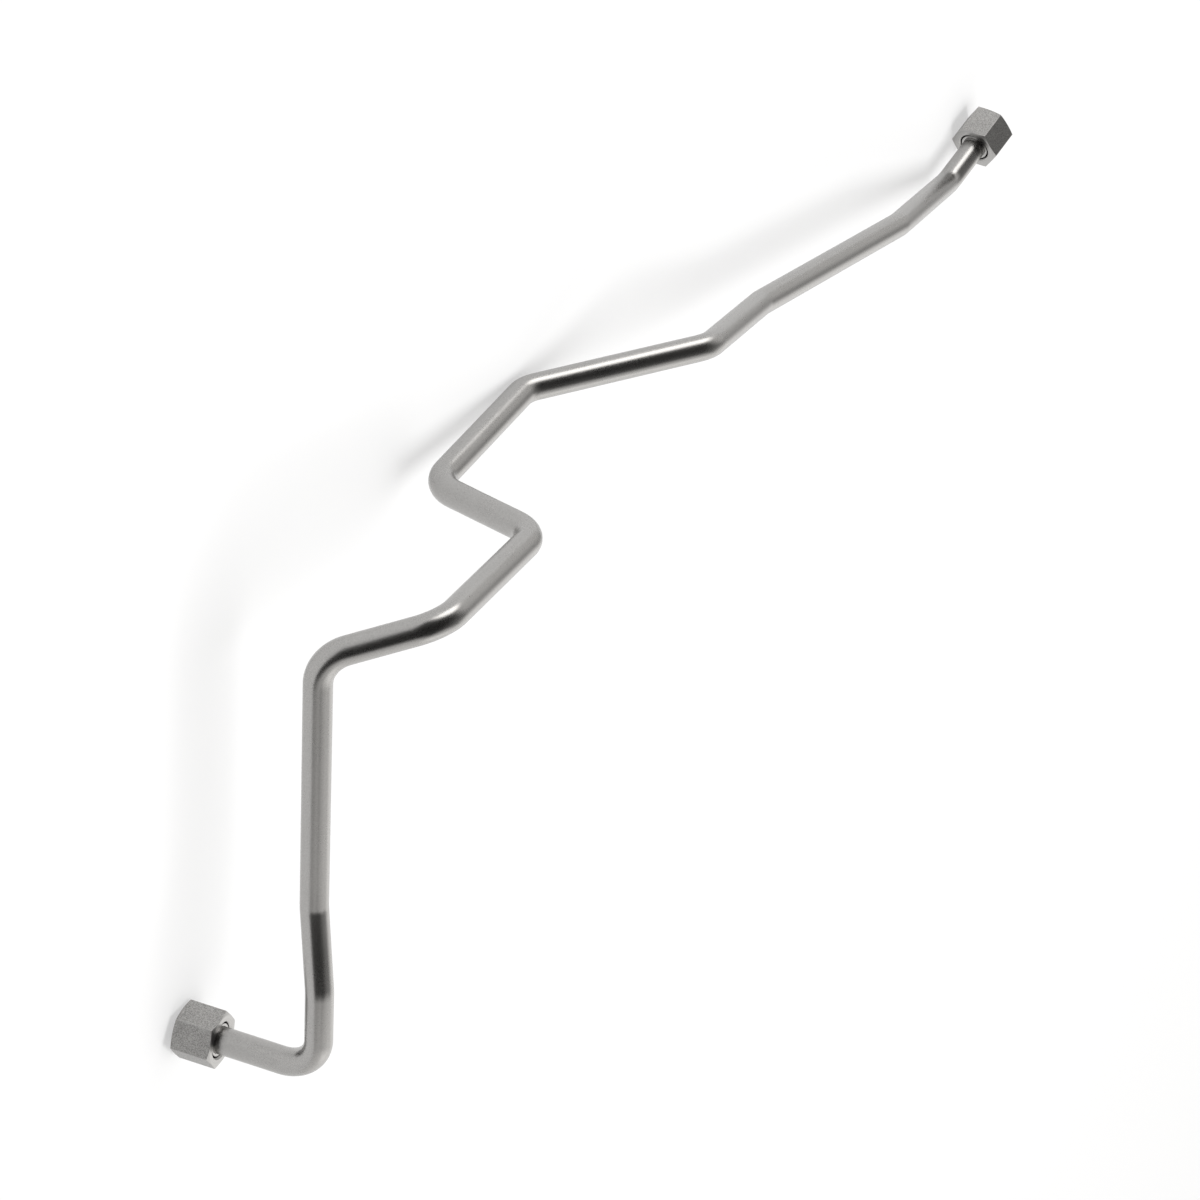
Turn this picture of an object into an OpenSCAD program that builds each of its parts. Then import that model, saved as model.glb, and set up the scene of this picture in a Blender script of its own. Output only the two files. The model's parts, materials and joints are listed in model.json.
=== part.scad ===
// Bent steel tube with a brazed flat-face sleeve and a hexagonal swivel nut at each end.
// The tube is laid out as a bend sheet: a straight leg, a turn of the bend plane, a bend.
// The finished part is then turned until it lies on its three lowest points.

/* [Tube] */
// Outside diameter of the tube
tube_od = 12.7; // [10:0.1:16]
// Wall thickness of the tube
tube_wall = 1.65; // [0.9:0.05:2.5]
// Radius of every bend, at the middle of the tube
bend_radius = 18; // [14:0.5:24]
// How much the bending swells the tube's radius in a bend
bend_swell = 0.02; // [0.01:0.005:0.1]

/* [Legs, corner to corner of the middle line] */
// Leg 1, from the end of the lower sleeve to the first corner
leg_1 = 48.5; // [35:0.5:90]
// Leg 2, into the lower jog
leg_2 = 45; // [30:0.5:90]
// Leg 3, across the lower jog
leg_3 = 40.5; // [20:0.5:80]
// Leg 4, the long riser
leg_4 = 128.5; // [60:0.5:200]
// Leg 5, over the top of the riser
leg_5 = 54.5; // [40:0.5:100]
// Leg 6, into the hairpin
leg_6 = 95.5; // [50:0.5:150]
// Leg 7, the middle of the hairpin
leg_7 = 64; // [40:0.5:110]
// Leg 8, out of the hairpin
leg_8 = 94.5; // [50:0.5:150]
// Leg 9, sideways from the hairpin
leg_9 = 99.5; // [50:0.5:150]
// Leg 10, into the upper jog
leg_10 = 80.5; // [40:0.5:130]
// Leg 11, across the upper jog
leg_11 = 152; // [80:0.5:220]
// Leg 12, out of the upper jog
leg_12 = 97.5; // [50:0.5:150]
// Leg 13, from the last corner to the end of the upper sleeve
leg_13 = 29; // [20:0.5:70]

/* [Bends] */
// Bend 1, square, behind the lower nut
bend_1_angle = 90; // [60:0.5:110]
// Lower jog: the tube bends by this angle and back again
lower_jog_angle = 13.5; // [5:0.5:30]
// Bend 4, at the top of the riser
bend_4_angle = 70.5; // [50:0.5:90]
// Bend 5, into the hairpin
bend_5_angle = 68; // [50:0.5:90]
// Bend 6, first half of the hairpin
bend_6_angle = 68; // [50:0.5:90]
// Bend 7, second half of the hairpin
bend_7_angle = 69.5; // [50:0.5:90]
// Bend 8, out of the hairpin
bend_8_angle = 35.5; // [20:0.5:60]
// Bend 9, towards the upper jog
bend_9_angle = 40; // [20:0.5:60]
// Upper jog: the tube bends by this angle and back again
upper_jog_angle = 10.5; // [5:0.5:30]
// Bend 12, into the upper nut
bend_12_angle = 35; // [15:0.5:60]

/* [Turns of the bend plane] */
// Turn about leg 2, from bend 1 to the lower jog
turn_2_angle = -46; // [-90:0.5:0]
// Turn about leg 4, from the lower jog to bend 4
turn_4_angle = 72; // [45:0.5:100]
// Turn about leg 5, from bend 4 to bend 5
turn_5_angle = 75.5; // [50:0.5:100]
// Turn about leg 6, from bend 5 to bend 6
turn_6_angle = 21.5; // [0:0.5:45]
// Turn about leg 7, from bend 6 to bend 7
turn_7_angle = 173.5; // [160:0.5:180]
// Turn about leg 8, from bend 7 to bend 8
turn_8_angle = 6.5; // [0:0.5:20]
// Turn about leg 9, from bend 8 to bend 9
turn_9_angle = 161; // [145:0.5:180]
// Turn about leg 10, from bend 9 to the upper jog
turn_10_angle = 174; // [160:0.5:180]
// Turn about leg 12, from the upper jog to bend 12
turn_12_angle = 130; // [100:0.5:160]

/* [Sleeves] */
// Wall of the sleeve round the tube
sleeve_wall = 1.3; // [0.8:0.05:2]
// Radial gap that the braze fills between tube and sleeve
braze_gap = 0.05; // [0.02:0.01:0.1]
// How far the flange stands out from the sleeve
flange_lip = 1.65; // [1.2:0.05:3]
// Thickness of the flange
flange_t = 3.2; // [2:0.1:5]
// Thickness of the stop in front of the tube's end
nose_t = 2.5; // [1.5:0.1:3.5]
// Chamfer on the edges of the flange
flange_chamfer = 0.3; // [0.1:0.05:0.6]

/* [Swivel nuts] */
// Radial clearance between the nut's back bore and the sleeve
swivel_gap = 0.7; // [0.3:0.05:0.9]
// End play between the nut's shoulder and the flange
swivel_play = 0.2; // [0.1:0.05:0.6]
// Length of the back wall that carries the shoulder
nut_back = 6.2; // [4.5:0.1:9]
// How far the sleeve's end lies inside the nut's back face
sleeve_sink = 0.7; // [0.2:0.1:1.5]
// Chamfer at the mouth of the back bore
back_chamfer = 0.7; // [0.1:0.05:1]
// Radial clearance of the flange inside the thread
thread_gap = 0.25; // [0.1:0.05:0.6]
// Length of the threaded wall
thread_length = 8.2; // [6:0.1:16]
// Chamfer at the mouth of the thread
thread_chamfer = 0.9; // [0.5:0.1:1.2]
// Depth of the relief behind the thread
relief_depth = 0.9; // [0.5:0.1:1.4]
// Length of the relief in front of the flange
relief_gap = 0.5; // [0.3:0.1:2]
// Wall of the nut at the middle of a flat, round the relief
flat_wall = 1.45; // [1.2:0.05:4]
// How far the flat ring of each end face stays inside the flats
face_inset = 0.45; // [0.3:0.05:0.9]
// Slope of the turned chamfer at both ends
face_slope = 16; // [12:1:45]
// Turn of the lower nut about its own axis
lower_nut_angle = -6.5; // [-30:0.5:30]
// Turn of the upper nut about its own axis
upper_nut_angle = -18.5; // [-30:0.5:30]

/* [Hidden] */
$fn = 64;
STEEL = [0.62, 0.61, 0.59];
NUT_STEEL = [0.56, 0.55, 0.54];
SLACK = 1;
BEND_LAP = 0.5;
BACK_AGAIN = 180;

// Fits, from the tube outwards
tube_id = tube_od - 2 * tube_wall;
sleeve_od = tube_od + 2 * (braze_gap + sleeve_wall);
flange_od = sleeve_od + 2 * flange_lip;
back_bore = sleeve_od + 2 * swivel_gap;
thread_bore = flange_od + 2 * thread_gap;
relief_bore = thread_bore + 2 * relief_depth;
nut_af = relief_bore + 2 * flat_wall;
corner_r = nut_af / 2 / cos(30);
face_r = nut_af / 2 - face_inset;

// Heights along a tube end, from the end of the sleeve outwards
back_face = -sleeve_sink;
shoulder = back_face + nut_back;
flange_back = shoulder + swivel_play;
seal_face = flange_back + flange_t;
tube_end = seal_face - nose_t;
thread_start = seal_face + relief_gap;
thread_end = thread_start + thread_length;
open_face = thread_end + thread_chamfer;
corner_drop = (corner_r - face_r) * tan(face_slope);

// Bend sheet
LEGS = [leg_1, leg_2, leg_3, leg_4, leg_5, leg_6, leg_7, leg_8, leg_9, leg_10, leg_11, leg_12, leg_13];
BENDS = [bend_1_angle, lower_jog_angle, lower_jog_angle, bend_4_angle, bend_5_angle, bend_6_angle,
         bend_7_angle, bend_8_angle, bend_9_angle, upper_jog_angle, upper_jog_angle, bend_12_angle];
TURNS = [turn_2_angle, BACK_AGAIN, turn_4_angle, turn_5_angle, turn_6_angle, turn_7_angle,
         turn_8_angle, turn_9_angle, turn_10_angle, BACK_AGAIN, turn_12_angle, 0];
LAST = len(BENDS);

// Homogeneous moves
function shift(v) = [[1, 0, 0, v.x], [0, 1, 0, v.y], [0, 0, 1, v.z], [0, 0, 0, 1]];
function about_x(a) = [[1, 0, 0, 0], [0, cos(a), -sin(a), 0], [0, sin(a), cos(a), 0], [0, 0, 0, 1]];
function about_y(a) = [[cos(a), 0, sin(a), 0], [0, 1, 0, 0], [-sin(a), 0, cos(a), 0], [0, 0, 0, 1]];
function about_z(a) = [[cos(a), -sin(a), 0, 0], [sin(a), cos(a), 0, 0], [0, 0, 1, 0], [0, 0, 0, 1]];
function drop_last(v) = [v.x, v.y, v.z];
function point(m, v) = drop_last(m * [v.x, v.y, v.z, 1]);
function direction(m, v) = drop_last(m * [v.x, v.y, v.z, 0]);
function unit(v) = v / norm(v);
function across(v, axis) = unit(v - (v * axis) * axis);

// Each leg's frame: it starts at a corner, runs along +X and bends towards +Y at its far end
leg_frames = [
    for (k = 0, m = shift([0, 0, 0]); k <= LAST;
         m = k < LAST ? m * shift([LEGS[k], 0, 0]) * about_z(BENDS[k]) * about_x(TURNS[k]) : m, k = k + 1) m
];
function tangent(k) = k < 0 || k >= LAST ? 0 : bend_radius * tan(BENDS[k] / 2);
function bend_frame(k) = leg_frames[k] * shift([LEGS[k] - tangent(k), 0, 0]);

// Each nut's frame: +Z points out of the open end and the sleeve's end lies at zero
lower_frame = leg_frames[0] * about_y(-90);
upper_frame = leg_frames[LAST] * shift([leg_13, 0, 0]) * about_y(90);

// Hexagon corners of a nut, at both of its chamfers
function nut_corners(m, turn) = [
    for (z = [back_face + corner_drop, open_face - corner_drop]) for (a = [0 : 60 : 300])
        point(m, [corner_r * cos(a + turn), corner_r * sin(a + turn), z])
];
function furthest(points, d) = points[search(max(points * d), points * d)[0]];

// Rims of a nut's end faces, and rings of the tube along a bend: each ring is a middle and a direction
ARC_STEPS = 16;
function nut_rims(m, d) = [
    for (z = [back_face, open_face]) point(m, [0, 0, z]) + face_r * across(d, direction(m, [0, 0, 1]))
];
function bend_rings(k) = [
    for (i = [0 : ARC_STEPS])
        let (a = BENDS[k] * i / ARC_STEPS, m = bend_frame(k))
        [point(m, [bend_radius * sin(a), bend_radius * (1 - cos(a)), 0]), direction(m, [cos(a), sin(a), 0])]
];
all_rings = [for (k = [0 : LAST - 1]) each bend_rings(k)];

// The point of each piece that reaches furthest in a direction
function nut_tip(m, turn, d) = furthest(concat(nut_corners(m, turn), nut_rims(m, d)), d);
function ring_tip(ring, d) = ring[0] + (tube_od / 2 + bend_swell) * across(d, ring[1]);
function tube_tip(rings, d) = furthest([for (ring = rings) ring_tip(ring, d)], d);
function tips(rings, d) = [
    nut_tip(lower_frame, lower_nut_angle, d),
    nut_tip(upper_frame, upper_nut_angle, d),
    tube_tip(rings, d)
];

// The part lies on its two nuts and on the bend out of the hairpin
SUPPORT_BEND = 7;
function feet(d) = tips(bend_rings(SUPPORT_BEND), d);
function plane_normal(p) = unit(cross(p[1] - p[0], p[2] - p[0]));
function facing(n, d) = n * d < 0 ? -n : n;

// Tip the part until its feet share one level plane, from a first guess of its lean
FIRST_LEAN = 10;
SETTLING_STEPS = 12;
function settle(down, steps) =
    steps == 0 ? down : settle(facing(plane_normal(feet(down)), down), steps - 1);
down = settle(direction(lower_frame, [-sin(FIRST_LEAN), 0, cos(FIRST_LEAN)]), SETTLING_STEPS);
rest_z = -down;
rest_x = across(feet(down)[1] - feet(down)[0], rest_z);
rest_y = cross(rest_z, rest_x);

function reach(d) = max(tips(all_rings, d) * d);

// Resting frame: +Z up, +X from the lower nut to the upper one, origin under the middle of the part
middle_x = (reach(rest_x) - reach(-rest_x)) / 2;
middle_y = (reach(rest_y) - reach(-rest_y)) / 2;
rest = [
    concat(rest_x, -middle_x),
    concat(rest_y, -middle_y),
    concat(rest_z, reach(-rest_z)),
    [0, 0, 0, 1]
];

// Round bar along the middle line: each leg ends a little inside the bends, which are a touch fatter
module along_tube(d, end_slack) {
    for (k = [0 : LAST]) multmatrix(leg_frames[k]) {
        from = k == 0 ? -tube_end - end_slack : tangent(k - 1) - BEND_LAP;
        to = k == LAST ? leg_13 + tube_end + end_slack : LEGS[k] - tangent(k) + BEND_LAP;
        translate([from, 0, 0]) rotate([0, 90, 0]) cylinder(d = d, h = to - from);
    }
    for (k = [0 : LAST - 1]) multmatrix(bend_frame(k) * shift([0, bend_radius, 0]))
        rotate([0, 0, -90]) rotate_extrude(angle = BENDS[k])
            translate([bend_radius, 0]) circle(d = d + 2 * bend_swell);
}

module sleeve() {
    socket_r = tube_od / 2 + braze_gap;
    rotate_extrude() polygon([
        [socket_r, 0],
        [sleeve_od / 2, 0],
        [sleeve_od / 2, flange_back],
        [flange_od / 2 - flange_chamfer, flange_back],
        [flange_od / 2, flange_back + flange_chamfer],
        [flange_od / 2, seal_face - flange_chamfer],
        [flange_od / 2 - flange_chamfer, seal_face],
        [tube_id / 2, seal_face],
        [tube_id / 2, tube_end],
        [socket_r, tube_end]
    ]);
}

// Outside of the nut: a hexagon bar with both ends turned to a shallow cone
module nut_blank() {
    outside_r = corner_r + SLACK;
    outside_drop = (outside_r - face_r) * tan(face_slope);
    intersection() {
        translate([0, 0, back_face]) cylinder(r = corner_r, h = open_face - back_face, $fn = 6);
        rotate_extrude() polygon([
            [0, back_face],
            [face_r, back_face],
            [outside_r, back_face + outside_drop],
            [outside_r, open_face - outside_drop],
            [face_r, open_face],
            [0, open_face]
        ]);
    }
}

// Inside of the nut, from the back bore to the mouth of the thread
module nut_bore() {
    rotate_extrude() polygon([
        [0, back_face - SLACK],
        [back_bore / 2 + back_chamfer + SLACK, back_face - SLACK],
        [back_bore / 2, back_face + back_chamfer],
        [back_bore / 2, shoulder],
        [relief_bore / 2, shoulder],
        [relief_bore / 2, thread_start],
        [thread_bore / 2, thread_start],
        [thread_bore / 2, thread_end],
        [thread_bore / 2 + thread_chamfer + SLACK, open_face + SLACK],
        [0, open_face + SLACK]
    ]);
}

module swivel_nut(turn) {
    difference() {
        rotate([0, 0, turn]) nut_blank();
        nut_bore();
    }
}

module bent_tube() {
    color(STEEL) multmatrix(rest) difference() {
        along_tube(tube_od, 0);
        along_tube(tube_id, SLACK);
    }
}

module lower_sleeve() {
    color(STEEL) multmatrix(rest * lower_frame) sleeve();
}

module lower_nut() {
    color(NUT_STEEL) multmatrix(rest * lower_frame) swivel_nut(lower_nut_angle);
}

module upper_sleeve() {
    color(STEEL) multmatrix(rest * upper_frame) sleeve();
}

module upper_nut() {
    color(NUT_STEEL) multmatrix(rest * upper_frame) swivel_nut(upper_nut_angle);
}

bent_tube();
lower_sleeve();
lower_nut();
upper_sleeve();
upper_nut();
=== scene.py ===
"""Looks of the bent hydraulic line: smooth tube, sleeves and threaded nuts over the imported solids."""

import json
import math

import bpy
import numpy as np
from mathutils import Matrix


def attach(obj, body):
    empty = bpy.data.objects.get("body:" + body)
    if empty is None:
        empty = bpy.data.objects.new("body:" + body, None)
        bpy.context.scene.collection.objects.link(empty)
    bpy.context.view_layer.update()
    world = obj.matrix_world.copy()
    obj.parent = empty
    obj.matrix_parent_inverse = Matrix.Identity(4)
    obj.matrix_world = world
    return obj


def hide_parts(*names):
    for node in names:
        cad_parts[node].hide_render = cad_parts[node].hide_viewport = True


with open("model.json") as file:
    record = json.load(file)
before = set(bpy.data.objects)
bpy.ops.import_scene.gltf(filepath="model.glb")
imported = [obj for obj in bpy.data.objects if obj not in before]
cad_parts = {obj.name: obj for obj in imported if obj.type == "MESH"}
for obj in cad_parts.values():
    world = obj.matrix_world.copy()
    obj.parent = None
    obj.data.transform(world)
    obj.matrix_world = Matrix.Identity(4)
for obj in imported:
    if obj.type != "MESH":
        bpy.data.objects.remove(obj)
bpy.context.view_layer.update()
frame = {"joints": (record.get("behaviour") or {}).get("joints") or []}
MM = 0.001

# Tube, in millimetres and degrees
TUBE_R = 6.35
BORE_R = 4.7
BEND_RADIUS = 18.0
LEGS = (48.5, 45, 40.5, 128.5, 54.5, 95.5, 64, 94.5, 99.5, 80.5, 152, 97.5, 29)
BENDS = (90, 13.5, 13.5, 70.5, 68, 68, 69.5, 35.5, 40, 10.5, 10.5, 35)
TURNS = (-46, 180, 72, 75.5, 21.5, 173.5, 6.5, 161, 174, 180, 130, 0)
LEG_STEP = 12.0

# Tube ends, in millimetres: heights run from the end of a sleeve out of its nut's open end
SOCKET_R = 6.4
SLEEVE_R = 7.7
FLANGE_R = 9.35
FLANGE_CHAMFER = 0.3
FLANGE_BACK = 5.7
SEAL_FACE = 8.9
TUBE_END = 6.4
BACK_FACE = -0.7
BACK_BORE_R = 8.4
BACK_CHAMFER = 0.7
SHOULDER = 5.5
RELIEF_R = 10.5
THREAD_START = 9.4
THREAD_R = 9.6
THREAD_END = 17.6
THREAD_PITCH = 25.4 / 16
THREAD_DEPTH = 0.86
THREAD_FLAT = 1 / 6
THREAD_RINGS = 32
OPEN_FACE = 18.5
HALF_FLATS = 11.95
FACE_R = 11.5
FACE_SLOPE = math.tan(math.radians(16))
LOWER_NUT_TURN = math.radians(30 - 6.5)
UPPER_NUT_TURN = math.radians(30 - 18.5)

# Small edges, in millimetres: cuts, the rings that hold a cut's shading, and the easing of bores and faces
SLEEVE_EDGE = 0.1
EDGE = 0.08
EDGE_HOLD = 0.06
FACE_EASE = 0.2
BACK_EASE = 0.1
BORE_EASE = 0.04
MOUTH_EASE = 0.15
RELIEF_EASE = 0.1
RELIEF_FILLET = 0.2
SHOULDER_EASE = 0.12

# Share of each leg of a corner's cut in the cut's middle point; the rest is the corner itself
CUT_SHARE = 0.425
SHARP_ANGLE = math.radians(35)

# How far the lay vector runs along the finish's lines: per millimetre of length, and once round a turned face
LAY_ALONG = 0.03
LAY_ROUND = 0.3


def turned(axis, degrees):
    """4x4 matrix of a turn about one of the axes X, Y, Z."""
    return np.array(Matrix.Rotation(math.radians(degrees), 4, axis))


def shifted(x):
    """4x4 matrix of a shift along X."""
    return np.array(Matrix.Translation((x, 0, 0)))


def leg_frames():
    """Frame of every leg: each one is the last, moved to its far corner, bent about Z and turned about X."""
    frames = [np.eye(4)]
    for leg, bend, turn in zip(LEGS, BENDS, TURNS):
        frames.append(frames[-1] @ shifted(leg) @ turned("Z", bend) @ turned("X", turn))
    return frames


FRAMES = leg_frames()
LOWER_END = FRAMES[0] @ turned("Y", -90)
UPPER_END = FRAMES[-1] @ shifted(LEGS[-1]) @ turned("Y", 90)


def resting_place(reach=500.0):
    """Move from the bend sheet to the part's frame.

    Two points on each nut's axis are known on the sheet and, from the swivel joints, in the frame.
    The turn between the two sets of points is found by singular values, the shift from their middles.
    """
    joints = {j["child"]: j for j in frame["joints"]}
    sheet, there = [], []
    for body, end in (("lower_nut", LOWER_END), ("upper_nut", UPPER_END)):
        for along in (-reach, reach):
            sheet.append((end @ (0, 0, (BACK_FACE + OPEN_FACE) / 2 + along, 1))[:3])
            there.append(np.array(joints[body]["pos_m"]) / MM + along * np.array(joints[body]["axis"]))
    sheet, there = np.array(sheet), np.array(there)
    a, b = sheet - sheet.mean(0), there - there.mean(0)
    u, _, vt = np.linalg.svd(a.T @ b)
    keep = np.diag((1, 1, np.linalg.det(u @ vt)))
    move = np.eye(4)
    move[:3, :3] = (u @ keep @ vt).T
    move[:3, 3] = there.mean(0) - move[:3, :3] @ sheet.mean(0)
    return move


REST = resting_place()


def placed(move, points):
    """Points of a grid, in millimetres, carried by a 4x4 move into the frame, in metres."""
    return (points @ move[:3, :3].T + move[:3, 3]) * MM


def closed_surface(name, points, lay, edge, faced):
    """Mesh piece of a grid that closes on itself both ways.

    Every four neighbouring points make one face, and the sign of the volume, the sum of
    corner . (corner x corner) over the faces, tells which way round they point outwards.
    lay is a vector per point that the finish's lines run along, edge is 1 on worn edges, and faced is 1
    where turning has cut the skin of the bar away.
    """
    rows, cols = points.shape[:2]
    r, c = np.meshgrid(np.arange(rows), np.arange(cols), indexing="ij")
    r2, c2 = (r + 1) % rows, (c + 1) % cols
    faces = np.stack((r * cols + c, r * cols + c2, r2 * cols + c2, r2 * cols + c), -1).reshape(-1, 4)
    flat = points.reshape(-1, 3)
    p = flat[faces]
    volume = np.einsum("ij,ij->", p[:, 0], np.cross(p[:, 1], p[:, 2]) + np.cross(p[:, 2], p[:, 3]))
    faces = faces if volume > 0 else faces[:, ::-1]
    mesh = bpy.data.meshes.new(name)
    mesh.vertices.add(len(flat))
    mesh.vertices.foreach_set("co", flat.astype(np.float32).ravel())
    mesh.loops.add(faces.size)
    mesh.loops.foreach_set("vertex_index", faces.astype(np.int32).ravel())
    mesh.polygons.add(len(faces))
    mesh.polygons.foreach_set("loop_start", np.arange(0, faces.size, 4, dtype=np.int32))
    mesh.polygons.foreach_set("use_smooth", np.ones(len(faces), bool))
    mesh.update(calc_edges=True)
    mesh.attributes.new("lay", "FLOAT_VECTOR", "POINT").data.foreach_set(
        "vector", np.broadcast_to(lay, points.shape).astype(np.float32).ravel())
    for label, share in (("edge", edge), ("faced", faced)):
        mesh.attributes.new(label, "FLOAT", "POINT").data.foreach_set(
            "value", np.broadcast_to(share, points.shape[:2]).astype(np.float32).ravel())
    mesh.set_sharp_from_angle(angle=SHARP_ANGLE)
    piece = bpy.data.objects.new(name, mesh)
    bpy.context.scene.collection.objects.link(piece)
    return piece


def centre_line(steps_per_turn=72):
    """Rings of the tube: middle, two directions across the tube and the length so far.

    A leg is straight from tangent point to tangent point, and a bend is an arc about the point that lies
    one bend radius to the side. The two cross directions are carried along without twist, so the turns
    of the bend plane, summed up, are taken out of them again.
    """
    middles, firsts, seconds = [], [], []
    twist = 0.0
    for k, (m, leg) in enumerate(zip(FRAMES, LEGS)):
        bend = math.radians(BENDS[k]) if k < len(BENDS) else 0.0
        before = 0.0 if k == 0 else BEND_RADIUS * math.tan(math.radians(BENDS[k - 1]) / 2)
        after = BEND_RADIUS * math.tan(bend / 2)
        start = -TUBE_END if k == 0 else before
        stop = leg - after if k < len(BENDS) else leg + TUBE_END
        x = np.linspace(start, stop, max(2, int((stop - start) / LEG_STEP)))
        angle = np.linspace(0, bend, max(2, int(steps_per_turn * bend / math.tau) + 2))
        angle = angle[1:-1 if bend else 1]
        along = np.concatenate((x, stop + BEND_RADIUS * np.sin(angle)))
        aside = np.concatenate((0 * x, BEND_RADIUS * (1 - np.cos(angle))))
        heading = np.concatenate((0 * x, angle))
        c, s, z = np.cos(heading), np.sin(heading), np.zeros_like(heading)
        side = np.stack((-s, c, z), -1)
        up = np.stack((z, z, z + 1), -1)
        first = math.cos(twist) * side - math.sin(twist) * up
        second = math.sin(twist) * side + math.cos(twist) * up
        turn = (REST @ m)[:3, :3]
        middles.append(np.stack((along, aside, z), -1) @ turn.T + (REST @ m)[:3, 3])
        firsts.append(first @ turn.T)
        seconds.append(second @ turn.T)
        twist += math.radians(TURNS[k]) if k < len(TURNS) else 0.0
    middles = np.concatenate(middles)
    steps = np.linalg.norm(np.diff(middles, axis=0), axis=1)
    length = np.concatenate(((0.0,), np.cumsum(steps)))
    return middles, np.concatenate(firsts), np.concatenate(seconds), length


def bent_tube(sides=72):
    """Circle carried along the centre line, out on the outside and back in the bore, as one closed grid."""
    middles, first, second, length = centre_line()
    out = np.arange(len(middles))
    order = np.concatenate((out, out[::-1]))
    radius = np.repeat((TUBE_R, BORE_R), len(middles))
    a = np.linspace(0, math.tau, sides, endpoint=False)
    across = np.cos(a)[None, :, None] * first[order][:, None]
    across = across + np.sin(a)[None, :, None] * second[order][:, None]
    points = (middles[order][:, None] + radius[:, None, None] * across) * MM
    lay = np.stack(np.broadcast_arrays(
        radius[:, None] * np.cos(a), radius[:, None] * np.sin(a), length[order][:, None] * LAY_ALONG), -1)
    return closed_surface("tube_outside_and_bore", points, lay, 0.0, 0.0)


def softened(corners, edge, longest=0.4):
    """Closed profile of (r, z) corners, each cut by three points, the cut's legs being edge long.

    A leg takes no more than the longest share of a side. The wear is 1 in the middle of a cut.
    """
    p = np.array(corners, float)
    before, after = np.roll(p, 1, 0) - p, np.roll(p, -1, 0) - p
    cut_in = p + before * np.minimum(edge / np.linalg.norm(before, axis=1), longest)[:, None]
    cut_out = p + after * np.minimum(edge / np.linalg.norm(after, axis=1), longest)[:, None]
    middle = (1 - 2 * CUT_SHARE) * p + CUT_SHARE * (cut_in + cut_out)
    return np.stack((cut_in, middle, cut_out), 1).reshape(-1, 2), np.tile((0.3, 1.0, 0.3), len(p))


def sleeve(name, end, sides=96):
    """Profile of the brazed sleeve, from socket over flange to seal face, revolved about the end's axis."""
    profile, worn = softened((
        (SOCKET_R, 0),
        (SLEEVE_R, 0),
        (SLEEVE_R, FLANGE_BACK),
        (FLANGE_R - FLANGE_CHAMFER, FLANGE_BACK),
        (FLANGE_R, FLANGE_BACK + FLANGE_CHAMFER),
        (FLANGE_R, SEAL_FACE - FLANGE_CHAMFER),
        (FLANGE_R - FLANGE_CHAMFER, SEAL_FACE),
        (BORE_R, SEAL_FACE),
        (BORE_R, TUBE_END),
        (SOCKET_R, TUBE_END),
    ), SLEEVE_EDGE)
    a = np.linspace(0, math.tau, sides, endpoint=False)
    r, z = profile[:, :1], profile[:, 1:]
    points = np.stack(np.broadcast_arrays(r * np.cos(a), r * np.sin(a), z), -1)
    lay = np.stack(np.broadcast_arrays(r + 0 * a, z + 0 * a, LAY_ROUND * np.sin(a)), -1)
    return closed_surface(name, placed(REST @ end, points), lay, worn[:, None], 0.0)


def hexagon(across=26, corner=0.18, corner_steps=6, eased_wear=0.4):
    """Outline of the hexagon with its corners rounded: radius, angle and wear of each point.

    On a flat the radius is half the flats over the cosine of the angle from the flat's middle. At a corner
    the outline is an arc of the corner radius about a point that far inside both flats.
    """
    half = HALF_FLATS * math.tan(math.pi / 6)
    inset = corner * math.tan(math.pi / 6)
    flat = np.linspace(-half + inset, half - inset, across)
    straight = np.stack((np.full(across, HALF_FLATS), flat), -1)
    arc = np.linspace(0, math.pi / 3, corner_steps + 1)[1:-1]
    arc_x = HALF_FLATS - corner + corner * np.cos(arc)
    arc_y = half - inset + corner * np.sin(arc)
    side = np.concatenate((straight, np.stack((arc_x, arc_y), -1)))
    worn = np.concatenate((np.zeros(across), np.ones(len(arc))))
    worn[[0, across - 1]] = eased_wear
    turn = np.arange(6) * math.pi / 3
    x = np.cos(turn)[:, None] * side[:, 0] - np.sin(turn)[:, None] * side[:, 1]
    y = np.sin(turn)[:, None] * side[:, 0] + np.cos(turn)[:, None] * side[:, 1]
    return np.hypot(x, y).ravel(), np.arctan2(y, x).ravel(), np.tile(worn, 6)


def thread_radius(z, a):
    """Radius of the thread at one height, and its wave from 0 on the crest to 1 at the root.

    The wave runs along z less the angle's share of one pitch: flat at the crest and the root, with a
    smooth step between. It fades out into the relief, and a cone opens the mouth.
    """
    phase = (z / THREAD_PITCH - a / math.tau) % 1.0
    flank = np.clip((np.abs(2.0 * phase - 1.0) - THREAD_FLAT) / (1.0 - 2.0 * THREAD_FLAT), 0, 1)
    wave = flank * flank * (3.0 - 2.0 * flank)
    cone = max(0.0, z - THREAD_END)
    run_out = min(1.0, (z - THREAD_START) / THREAD_PITCH)
    return np.maximum(THREAD_R + cone, THREAD_R + run_out * THREAD_DEPTH * wave), wave


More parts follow.
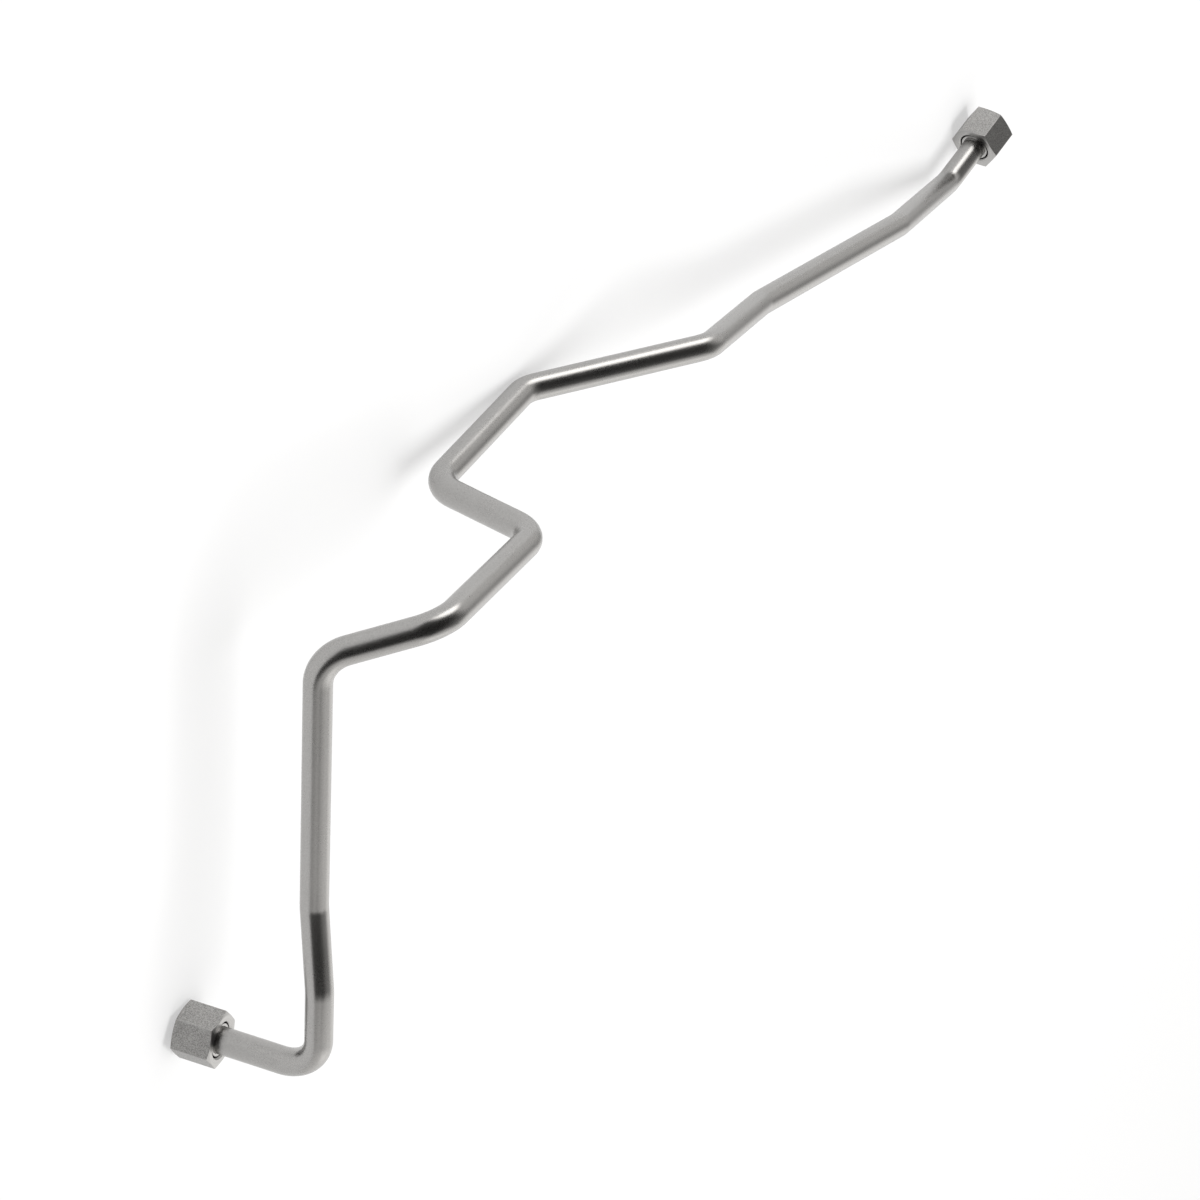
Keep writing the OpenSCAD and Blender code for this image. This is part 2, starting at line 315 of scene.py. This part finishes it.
def swivel_nut(name, end, spin):
    """Nut as rings of points, from the back bore over the hexagon to the open end and back down the thread.

    Outside rings follow the hexagon, and the chamfer of each end is where it meets a shallow cone, so the
    edge of a flat sinks towards the corners.
    """
    hex_r, a, hex_worn = hexagon()
    one = np.ones_like(a)
    drop = (hex_r - FACE_R) * FACE_SLOPE
    back_edge = BACK_BORE_R + BACK_CHAMFER
    mouth = THREAD_R + OPEN_FACE - THREAD_END
    rings = []

    def ring(r, z, worn, faced=True):
        if faced:
            lay = (r * one, z * one, LAY_ROUND * np.sin(a))
        else:
            lay = (r * np.cos(a), r * np.sin(a), LAY_ALONG * z * one)
        rings.append((r * one, z * one, worn * one, faced * one, lay))

    # Each end from its flat ring to the flats: radius, depth below the face, wear, turned or not
    end_rings = (
        (FACE_R - FACE_EASE, 0.0, 0.0, True),
        (FACE_R - 0.3 * FACE_EASE, 0.025 * FACE_EASE, 0.2, True),
        (FACE_R + 0.5 * FACE_EASE, 0.5 * FACE_EASE * FACE_SLOPE, 0.1, True),
        (FACE_R + 0.4 * (hex_r - FACE_R), 0.4 * drop, 0.0, True),
        (hex_r - EDGE - EDGE_HOLD, drop - (EDGE + EDGE_HOLD) * FACE_SLOPE, 0.0, True),
        (hex_r - EDGE, drop - EDGE * FACE_SLOPE, 0.2, True),
        (hex_r - CUT_SHARE * EDGE, drop + CUT_SHARE * EDGE * (1 - FACE_SLOPE), 0.5, False),
        (hex_r, drop + EDGE, np.maximum(0.2, hex_worn), False),
        (hex_r, drop + EDGE + EDGE_HOLD, hex_worn, False),
    )
    ring(BACK_BORE_R, BACK_FACE + BACK_CHAMFER + EDGE, 0.2)
    ring(BACK_BORE_R + BORE_EASE, BACK_FACE + BACK_CHAMFER, 0.5)
    ring(back_edge - BORE_EASE, BACK_FACE + 1.5 * BORE_EASE, 0.6)
    ring(back_edge + BACK_EASE, BACK_FACE, 0.3)
    ring(back_edge + BACK_EASE + EDGE_HOLD, BACK_FACE, 0.0)
    ring(0.5 * (back_edge + FACE_R), BACK_FACE, 0.0)
    for r, depth, worn, faced in end_rings:
        ring(r, BACK_FACE + depth, worn, faced)
    low = BACK_FACE + drop + EDGE + EDGE_HOLD
    high = OPEN_FACE - drop - EDGE - EDGE_HOLD
    for share in (0.1, 0.35, 0.65, 0.9):
        ring(hex_r, low + share * (high - low), hex_worn, False)
    for r, depth, worn, faced in end_rings[::-1]:
        ring(r, OPEN_FACE - depth, worn, faced)
    ring(mouth + MOUTH_EASE + EDGE_HOLD, OPEN_FACE, 0.0)
    ring(mouth + MOUTH_EASE, OPEN_FACE, 0.2)
    ring(mouth, OPEN_FACE - 0.2 * MOUTH_EASE, 0.7)
    for z in np.arange(OPEN_FACE - 0.8 * MOUTH_EASE, THREAD_START + BORE_EASE, -THREAD_PITCH / THREAD_RINGS):
        r, wave = thread_radius(z, a)
        ring(r, z, 0.25 * (1 - wave))
    ring(THREAD_R + 0.5 * RELIEF_EASE, THREAD_START, 0.5)
    ring(RELIEF_R - RELIEF_EASE, THREAD_START, 0.0)
    ring(RELIEF_R, THREAD_START - RELIEF_EASE, 0.0)
    ring(RELIEF_R, SHOULDER + RELIEF_FILLET, 0.0)
    ring(RELIEF_R - RELIEF_FILLET, SHOULDER, 0.0)
    ring(BACK_BORE_R + SHOULDER_EASE, SHOULDER, 0.2)
    ring(BACK_BORE_R, SHOULDER - SHOULDER_EASE, 0.4)
    r, z, worn, faced, lay = (np.array([x[i] for x in rings]) for i in range(5))
    points = np.stack((r * np.cos(a + spin), r * np.sin(a + spin), z), -1)
    return closed_surface(name, placed(REST @ end, points), lay.transpose(0, 2, 1), worn, faced)


def node_group(name, inputs, outputs):
    """Empty shader group with float inputs of given values and float outputs."""
    group = bpy.data.node_groups.new(name, "ShaderNodeTree")
    for label, value in inputs.items():
        socket = group.interface.new_socket(label, in_out="INPUT", socket_type="NodeSocketFloat")
        socket.default_value = value
    for label in outputs:
        group.interface.new_socket(label, in_out="OUTPUT", socket_type="NodeSocketFloat")
    return group, group.nodes.new("NodeGroupInput"), group.nodes.new("NodeGroupOutput")


def maths(tree, operation, a, b=0.0, clamp=False):
    """One Math node; a and b are sockets or numbers."""
    node = tree.nodes.new("ShaderNodeMath")
    node.operation = operation
    node.use_clamp = clamp
    for socket, value in zip(node.inputs, (a, b)):
        if isinstance(value, (int, float)):
            socket.default_value = value
        else:
            tree.links.new(value, socket)
    return node.outputs[0]


def shared(tree, a, b, share):
    """Sum of two sockets, the first times share, a number or a socket, and the second times the rest."""
    rest = 1.0 - share if isinstance(share, float) else maths(tree, "SUBTRACT", 1.0, share)
    return maths(tree, "ADD", maths(tree, "MULTIPLY", a, share), maths(tree, "MULTIPLY", b, rest))


def noise(tree, vector, scale, detail, roughness):
    """Noise texture on a vector; scale is a socket."""
    node = tree.nodes.new("ShaderNodeTexNoise")
    tree.links.new(vector, node.inputs["Vector"])
    tree.links.new(scale, node.inputs["Scale"])
    node.inputs["Detail"].default_value = detail
    node.inputs["Roughness"].default_value = roughness
    return node.outputs["Fac"]


def own_attribute(tree, label):
    """Node that reads one of the piece's own attributes."""
    node = tree.nodes.new("ShaderNodeAttribute")
    node.attribute_name = label
    return node


def satin_grain_group(tone_grain=0.8, dull_clouds=0.7):
    """Blasted and plated steel: a sandy grain in object space, with faint clouds over some centimetres."""
    group, given, put_out = node_group(
        "satin_grain", {"Grains per Metre": 1500.0, "Clouds per Metre": 45.0}, ("Height", "Tone", "Dull"))
    place = group.nodes.new("ShaderNodeTexCoord").outputs["Object"]
    fine = noise(group, place, given.outputs["Grains per Metre"], detail=2.0, roughness=0.6)
    clouds = noise(group, place, given.outputs["Clouds per Metre"], detail=3.0, roughness=0.55)
    group.links.new(fine, put_out.inputs["Height"])
    group.links.new(shared(group, fine, clouds, tone_grain), put_out.inputs["Tone"])
    group.links.new(shared(group, clouds, fine, dull_clouds), put_out.inputs["Dull"])
    return group


def lay_lines_group():
    """Lines of drawing and turning: noise on the piece's own lay vector, which is drawn out along the lines.

    Faced is the piece's own mask of faces that turning has cut.
    """
    group, given, put_out = node_group("lay_lines", {"Lines per Millimetre": 3.0}, ("Lines", "Faced"))
    lay = own_attribute(group, "lay").outputs["Vector"]
    lines = noise(group, lay, given.outputs["Lines per Millimetre"], detail=3.0, roughness=0.65)
    group.links.new(lines, put_out.inputs["Lines"])
    group.links.new(own_attribute(group, "faced").outputs["Fac"], put_out.inputs["Faced"])
    return group


def worn_edge_group(patch_gain=1.6):
    """Handling: the piece's own edge value, broken up by a noise, as a mask of bare, smoother metal."""
    group, given, put_out = node_group("worn_edge", {"Patches per Metre": 420.0}, ("Mask",))
    edge = own_attribute(group, "edge").outputs["Fac"]
    place = group.nodes.new("ShaderNodeTexCoord").outputs["Object"]
    patches = noise(group, place, given.outputs["Patches per Metre"], detail=3.0, roughness=0.6)
    patches = maths(group, "MULTIPLY", patches, patch_gain, True)
    group.links.new(maths(group, "MULTIPLY", edge, patches, True), put_out.inputs["Mask"])
    return group


GRAIN = satin_grain_group()
LINES = lay_lines_group()
WEAR = worn_edge_group()


def placed_group(tree, group, **values):
    """A group placed in a material with its own values."""
    node = tree.nodes.new("ShaderNodeGroup")
    node.node_tree = group
    for label, value in values.items():
        node.inputs[label.replace("_", " ")].default_value = value
    return node


def blended(tree, share, dark, light):
    """Colour between two, by a share from 0 to 1."""
    node = tree.nodes.new("ShaderNodeMix")
    node.data_type = "RGBA"
    tree.links.new(share, node.inputs["Factor"])
    for socket, value in ((node.inputs["A"], dark), (node.inputs["B"], light)):
        if isinstance(value, tuple):
            socket.default_value = (*value, 1.0)
        else:
            tree.links.new(value, socket)
    return node.outputs["Result"]


def ranged(tree, value, low, high, to_low, to_high, step="LINEAR"):
    """Map Range node, from low..high to to_low..to_high, straight or as a smooth step."""
    node = tree.nodes.new("ShaderNodeMapRange")
    node.interpolation_type = step
    tree.links.new(value, node.inputs["Value"])
    for label, number in (("From Min", low), ("From Max", high), ("To Min", to_low), ("To Max", to_high)):
        node.inputs[label].default_value = number
    return node.outputs["Result"]


# Spread of the noises over the whole tone and the whole roughness, and the grain's share in roughness
TONE_LOW, TONE_HIGH = 0.35, 0.65
DULL_LOW, DULL_HIGH = 0.3, 0.7
DULL_GRAIN = 0.8
WORN_GLOSS = 0.04

# Faced areas: share of the grain that is gone, share of bare metal, and fall in roughness
FACED_CUT = 0.9
FACED_BARE = 0.75
FACED_GLOSS = 0.12


def steel(name, dark, light, bright, smooth, rough, grain_depth, line_depth, line_share,
          grains, lines_per_mm):
    """Satin steel: colour and roughness follow grain, lay lines and worn edges, and both grains dent it.

    On faced areas the grain gives way to the lines, and the metal is brighter and smoother.
    """
    material = bpy.data.materials.new(name)
    material.use_nodes = True
    tree = material.node_tree
    shader = tree.nodes["Principled BSDF"]
    grain = placed_group(tree, GRAIN, Grains_per_Metre=grains).outputs
    line_group = placed_group(tree, LINES, Lines_per_Millimetre=lines_per_mm).outputs
    lines, faced = line_group["Lines"], line_group["Faced"]
    wear = placed_group(tree, WEAR).outputs["Mask"]
    skin = maths(tree, "SUBTRACT", 1.0, maths(tree, "MULTIPLY", faced, FACED_CUT))
    tone = shared(tree, grain["Tone"], lines, maths(tree, "MULTIPLY", skin, 1.0 - line_share))
    colour = blended(tree, ranged(tree, tone, TONE_LOW, TONE_HIGH, 0.0, 1.0), dark, light)
    bare = maths(tree, "MAXIMUM", wear, maths(tree, "MULTIPLY", faced, FACED_BARE))
    colour = blended(tree, bare, colour, bright)
    dull = shared(tree, grain["Dull"], lines, DULL_GRAIN)
    roughness = ranged(tree, dull, DULL_LOW, DULL_HIGH, smooth, rough)
    roughness = maths(tree, "SUBTRACT", roughness, maths(tree, "MULTIPLY", wear, WORN_GLOSS), True)
    roughness = maths(tree, "SUBTRACT", roughness, maths(tree, "MULTIPLY", faced, FACED_GLOSS), True)
    dents = maths(tree, "MULTIPLY", maths(tree, "MULTIPLY", grain["Height"], skin), grain_depth)
    height = maths(tree, "ADD", dents, maths(tree, "MULTIPLY", lines, line_depth))
    bump = tree.nodes.new("ShaderNodeBump")
    bump.inputs["Strength"].default_value = 1.0
    bump.inputs["Distance"].default_value = MM
    tree.links.new(height, bump.inputs["Height"])
    tree.links.new(colour, shader.inputs["Base Color"])
    tree.links.new(roughness, shader.inputs["Roughness"])
    tree.links.new(bump.outputs["Normal"], shader.inputs["Normal"])
    shader.inputs["Metallic"].default_value = 1.0
    return material


TUBE_STEEL = steel(
    "tube_steel", dark=(0.345, 0.339, 0.331), light=(0.425, 0.418, 0.409), bright=(0.46, 0.455, 0.446),
    smooth=0.24, rough=0.33, grain_depth=0.012, line_depth=0.002, line_share=0.12,
    grains=1500.0, lines_per_mm=0.5)
SLEEVE_STEEL = steel(
    "sleeve_steel", dark=(0.36, 0.354, 0.345), light=(0.46, 0.452, 0.443), bright=(0.50, 0.495, 0.486),
    smooth=0.25, rough=0.34, grain_depth=0.010, line_depth=0.010, line_share=0.35,
    grains=1500.0, lines_per_mm=5.0)
NUT_STEEL = steel(
    "nut_steel", dark=(0.2, 0.196, 0.19), light=(0.495, 0.487, 0.476), bright=(0.46, 0.455, 0.446),
    smooth=0.40, rough=0.50, grain_depth=0.020, line_depth=0.001, line_share=0.06,
    grains=1900.0, lines_per_mm=2.6)

PIECES = (
    (bent_tube(), TUBE_STEEL, "tube", "bent_tube", "tube_steel"),
    (sleeve("lower_sleeve_turned", LOWER_END), SLEEVE_STEEL, "tube", "lower_sleeve", "sleeve_steel"),
    (sleeve("upper_sleeve_turned", UPPER_END), SLEEVE_STEEL, "tube", "upper_sleeve", "sleeve_steel"),
    (swivel_nut("lower_nut_threaded", LOWER_END, LOWER_NUT_TURN),
     NUT_STEEL, "lower_nut", "lower_nut", "nut_steel"),
    (swivel_nut("upper_nut_threaded", UPPER_END, UPPER_NUT_TURN),
     NUT_STEEL, "upper_nut", "upper_nut", "nut_steel"),
)
for piece, material, body, node, slot in PIECES:
    piece.data.materials.append(material)
    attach(piece, body)
    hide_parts(node)

# Camera, in metres and degrees; the lens is in millimetres on a sensor 36 mm wide
CAMERA_AIM = (-0.07252, -0.06253, 0.04471)
CAMERA_AZIMUTH = 128.379
CAMERA_ELEVATION = 24.502
CAMERA_ROLL = -112.402
CAMERA_DISTANCE = 1.9232
CAMERA_LENS = 121.74
SENSOR_WIDTH = 36.0


def pointing(azimuth, elevation):
    """Unit vector of an azimuth and an elevation in degrees."""
    az, el = math.radians(azimuth), math.radians(elevation)
    return math.cos(el) * math.cos(az), math.cos(el) * math.sin(az), math.sin(el)


def photo_camera():
    """Camera on a ring round the aim point, then rolled about its own line of sight."""
    roll = math.radians(CAMERA_ROLL)
    back = np.array(pointing(CAMERA_AZIMUTH, CAMERA_ELEVATION))
    level_right = np.array(pointing(CAMERA_AZIMUTH + 90, 0))
    level_up = np.cross(back, level_right)
    up = math.cos(roll) * level_up + math.sin(roll) * level_right
    right = np.cross(up, back)
    move = np.eye(4)
    move[:3, :3] = np.stack((right, up, back), 1)
    move[:3, 3] = CAMERA_AIM + CAMERA_DISTANCE * back
    data = bpy.data.cameras.new("photo_camera")
    data.lens = CAMERA_LENS
    data.sensor_width = SENSOR_WIDTH
    data.clip_start = 0.1
    data.clip_end = 100.0
    camera = bpy.data.objects.new("photo_camera", data)
    camera.matrix_world = Matrix(move.tolist())
    bpy.context.scene.collection.objects.link(camera)
    bpy.context.scene.camera = camera


# Floor: radii of its rings in metres, its grey, and the share of plain white that the eye and the metal see
FLOOR_RINGS = (0.5, 1.5, 5.0, 15.0)
FLOOR_GREY = 0.86
FLOOR_WHITE = 0.5


def pale_floor(sides=64):
    """Round floor as a grid of rings about a middle point, pale to the eye and in reflections."""
    count = len(FLOOR_RINGS)
    radius = np.array(FLOOR_RINGS)[:, None]
    a = np.linspace(0, math.tau, sides, endpoint=False)
    points = np.stack((radius * np.cos(a), radius * np.sin(a), np.zeros((count, sides))), -1).reshape(-1, 3)
    points = np.concatenate((points, np.zeros((1, 3))))
    r, c = np.meshgrid(np.arange(count - 1) * sides, np.arange(sides), indexing="ij")
    c2 = (c + 1) % sides
    quads = np.stack((r + c, r + sides + c, r + sides + c2, r + c2), -1).reshape(-1, 4)
    middle = np.stack((np.full(sides, count * sides), c[0], c2[0]), -1)
    mesh = bpy.data.meshes.new("pale_floor")
    mesh.from_pydata(points.tolist(), [], quads.tolist() + middle.tolist())
    floor = bpy.data.objects.new("pale_floor", mesh)
    bpy.context.scene.collection.objects.link(floor)
    material = bpy.data.materials.new("pale_floor")
    material.use_nodes = True
    tree = material.node_tree
    shader = tree.nodes["Principled BSDF"]
    shader.inputs["Base Color"].default_value = (FLOOR_GREY, FLOOR_GREY, FLOOR_GREY, 1.0)
    shader.inputs["Roughness"].default_value = 0.9
    shader.inputs["Specular IOR Level"].default_value = 0.0
    seen = tree.nodes.new("ShaderNodeLightPath")
    rays = maths(tree, "MAXIMUM", seen.outputs["Is Camera Ray"], seen.outputs["Is Glossy Ray"])
    rays = maths(tree, "MAXIMUM", rays, seen.outputs["Is Transmission Ray"])
    white = tree.nodes.new("ShaderNodeEmission")
    white.inputs["Strength"].default_value = 1.0
    mix = tree.nodes.new("ShaderNodeMixShader")
    tree.links.new(maths(tree, "MULTIPLY", rays, FLOOR_WHITE), mix.inputs["Fac"])
    tree.links.new(shader.outputs["BSDF"], mix.inputs[1])
    tree.links.new(white.outputs["Emission"], mix.inputs[2])
    tree.links.new(mix.outputs["Shader"], tree.nodes["Material Output"].inputs["Surface"])
    mesh.materials.append(material)


# Light wall: level angles from its middle in degrees, and the sine of the elevation where it fades
WALL_AZIMUTH = -97
WALL_FULL = 50
WALL_GONE = 76
WALL_STRENGTH = 0.91
WALL_TOP_FULL = 0.5
WALL_TOP_GONE = 0.88

# Round lights: azimuth, elevation, full out to, gone at, strength
ROUND_LIGHTS = (
    (53, 1, 18, 33, 3.25),
    (-50, 12.5, 0, 96, 0.45),
    (14, 15, 11, 44, 0.66),
    (-102, 47.5, 15, 30, 0.61),
)
ROOM_STRENGTH = 0.028
LIGHT_COLOUR = (1.0, 0.99, 0.975, 1.0)


def studio_light():
    """World of soft lights in a dark room.

    A round light is a smooth step of the angle from its middle. The light wall is a smooth step of the
    level angle from its middle, times one of the height.
    """
    world = bpy.data.worlds.new("soft_studio")
    bpy.context.scene.world = world
    world.use_nodes = True
    tree = world.node_tree
    direction = tree.nodes.new("ShaderNodeTexCoord").outputs["Generated"]

    def towards(azimuth, elevation):
        dot = tree.nodes.new("ShaderNodeVectorMath")
        dot.operation = "DOT_PRODUCT"
        tree.links.new(direction, dot.inputs[0])
        dot.inputs[1].default_value = pointing(azimuth, elevation)
        return dot.outputs["Value"]

    def faded(value, gone, full, strength):
        return ranged(tree, value, gone, full, 0.0, strength, "SMOOTHSTEP")

    level = maths(tree, "ARCTAN2", towards(WALL_AZIMUTH + 90, 0), towards(WALL_AZIMUTH, 0))
    level = maths(tree, "ABSOLUTE", level)
    wall = faded(level, math.radians(WALL_GONE), math.radians(WALL_FULL), WALL_STRENGTH)
    total = maths(tree, "MULTIPLY", wall, faded(towards(0, 90), WALL_TOP_GONE, WALL_TOP_FULL, 1.0))
    for azimuth, elevation, full, gone, strength in ROUND_LIGHTS:
        angle = maths(tree, "ARCCOSINE", towards(azimuth, elevation))
        light = faded(angle, math.radians(gone), math.radians(full), strength)
        total = maths(tree, "ADD", total, light)
    background = tree.nodes["Background"]
    tree.links.new(maths(tree, "ADD", total, ROOM_STRENGTH), background.inputs["Strength"])
    background.inputs["Color"].default_value = LIGHT_COLOUR


# Overhead lamp, in metres and watts
LAMP_SIZE = 4.6
LAMP_POWER = 236.0
LAMP_HEIGHT = 5.0


def overhead_lamp():
    """Wide soft lamp over the floor, for the floor's own light and shadow; reflections leave it out."""
    data = bpy.data.lights.new("overhead_lamp", "AREA")
    data.shape = "DISK"
    data.size = LAMP_SIZE
    data.energy = LAMP_POWER
    lamp = bpy.data.objects.new("overhead_lamp", data)
    lamp.location = (0.0, 0.0, LAMP_HEIGHT)
    lamp.visible_glossy = False
    bpy.context.scene.collection.objects.link(lamp)


photo_camera()
pale_floor()
studio_light()
overhead_lamp()
bpy.context.scene.view_settings.view_transform = "Standard"
